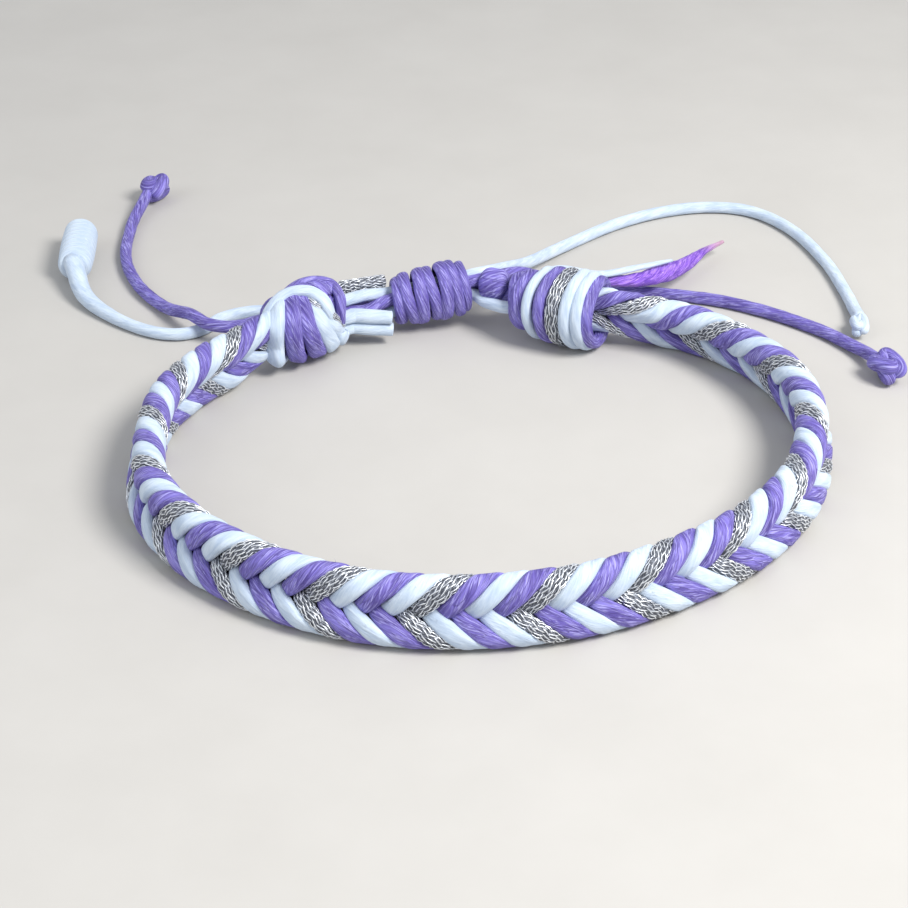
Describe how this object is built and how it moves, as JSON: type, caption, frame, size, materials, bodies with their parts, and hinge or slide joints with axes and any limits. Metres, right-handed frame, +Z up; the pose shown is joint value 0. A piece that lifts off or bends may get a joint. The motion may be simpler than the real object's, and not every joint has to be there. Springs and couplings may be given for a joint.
{
  "type": "braided anklet",
  "caption": "Flat braided cord anklet on its edge, tied in two overhand knots and closed by cords through a sliding knot.",
  "frame": {"origin": "on the table, under the middle of the braid, its knots and its cut ends", "axes": "+Z up from the table, +X to the right across the loop, +Y from the front of the braid towards the knots"},
  "size_m": [0.1039, 0.1053, 0.0104],
  "materials": {
    "purple_cord": "waxed",
    "white_cord": "soft",
    "silver_thread": "metallic thread"
  },
  "bodies": {
    "root": {"strand_silver_a": "silver_thread", "strand_silver_b": "silver_thread", "strand_white_a": "white_cord", "strand_white_b": "white_cord", "strand_white_c": "white_cord", "strand_purple_a": "purple_cord", "strand_purple_b": "purple_cord", "strand_purple_c": "purple_cord", "right_knot": "purple_cord", "left_knot": "white_cord", "sliding_knot": "purple_cord", "left_cut_silver": "silver_thread", "left_cut_white_upper": "white_cord", "left_cut_white_lower": "white_cord", "purple_cut_end": "purple_cord", "white_cut_end": "white_cord", "white_right_cord": "white_cord", "purple_right_cord": "purple_cord", "white_left_cord": "white_cord", "purple_left_cord": "purple_cord", "white_right_end_knot": "white_cord", "purple_right_end_knot": "purple_cord", "white_left_end_knot": "white_cord", "purple_left_end_knot": "purple_cord"}
  },
  "joints": []
}
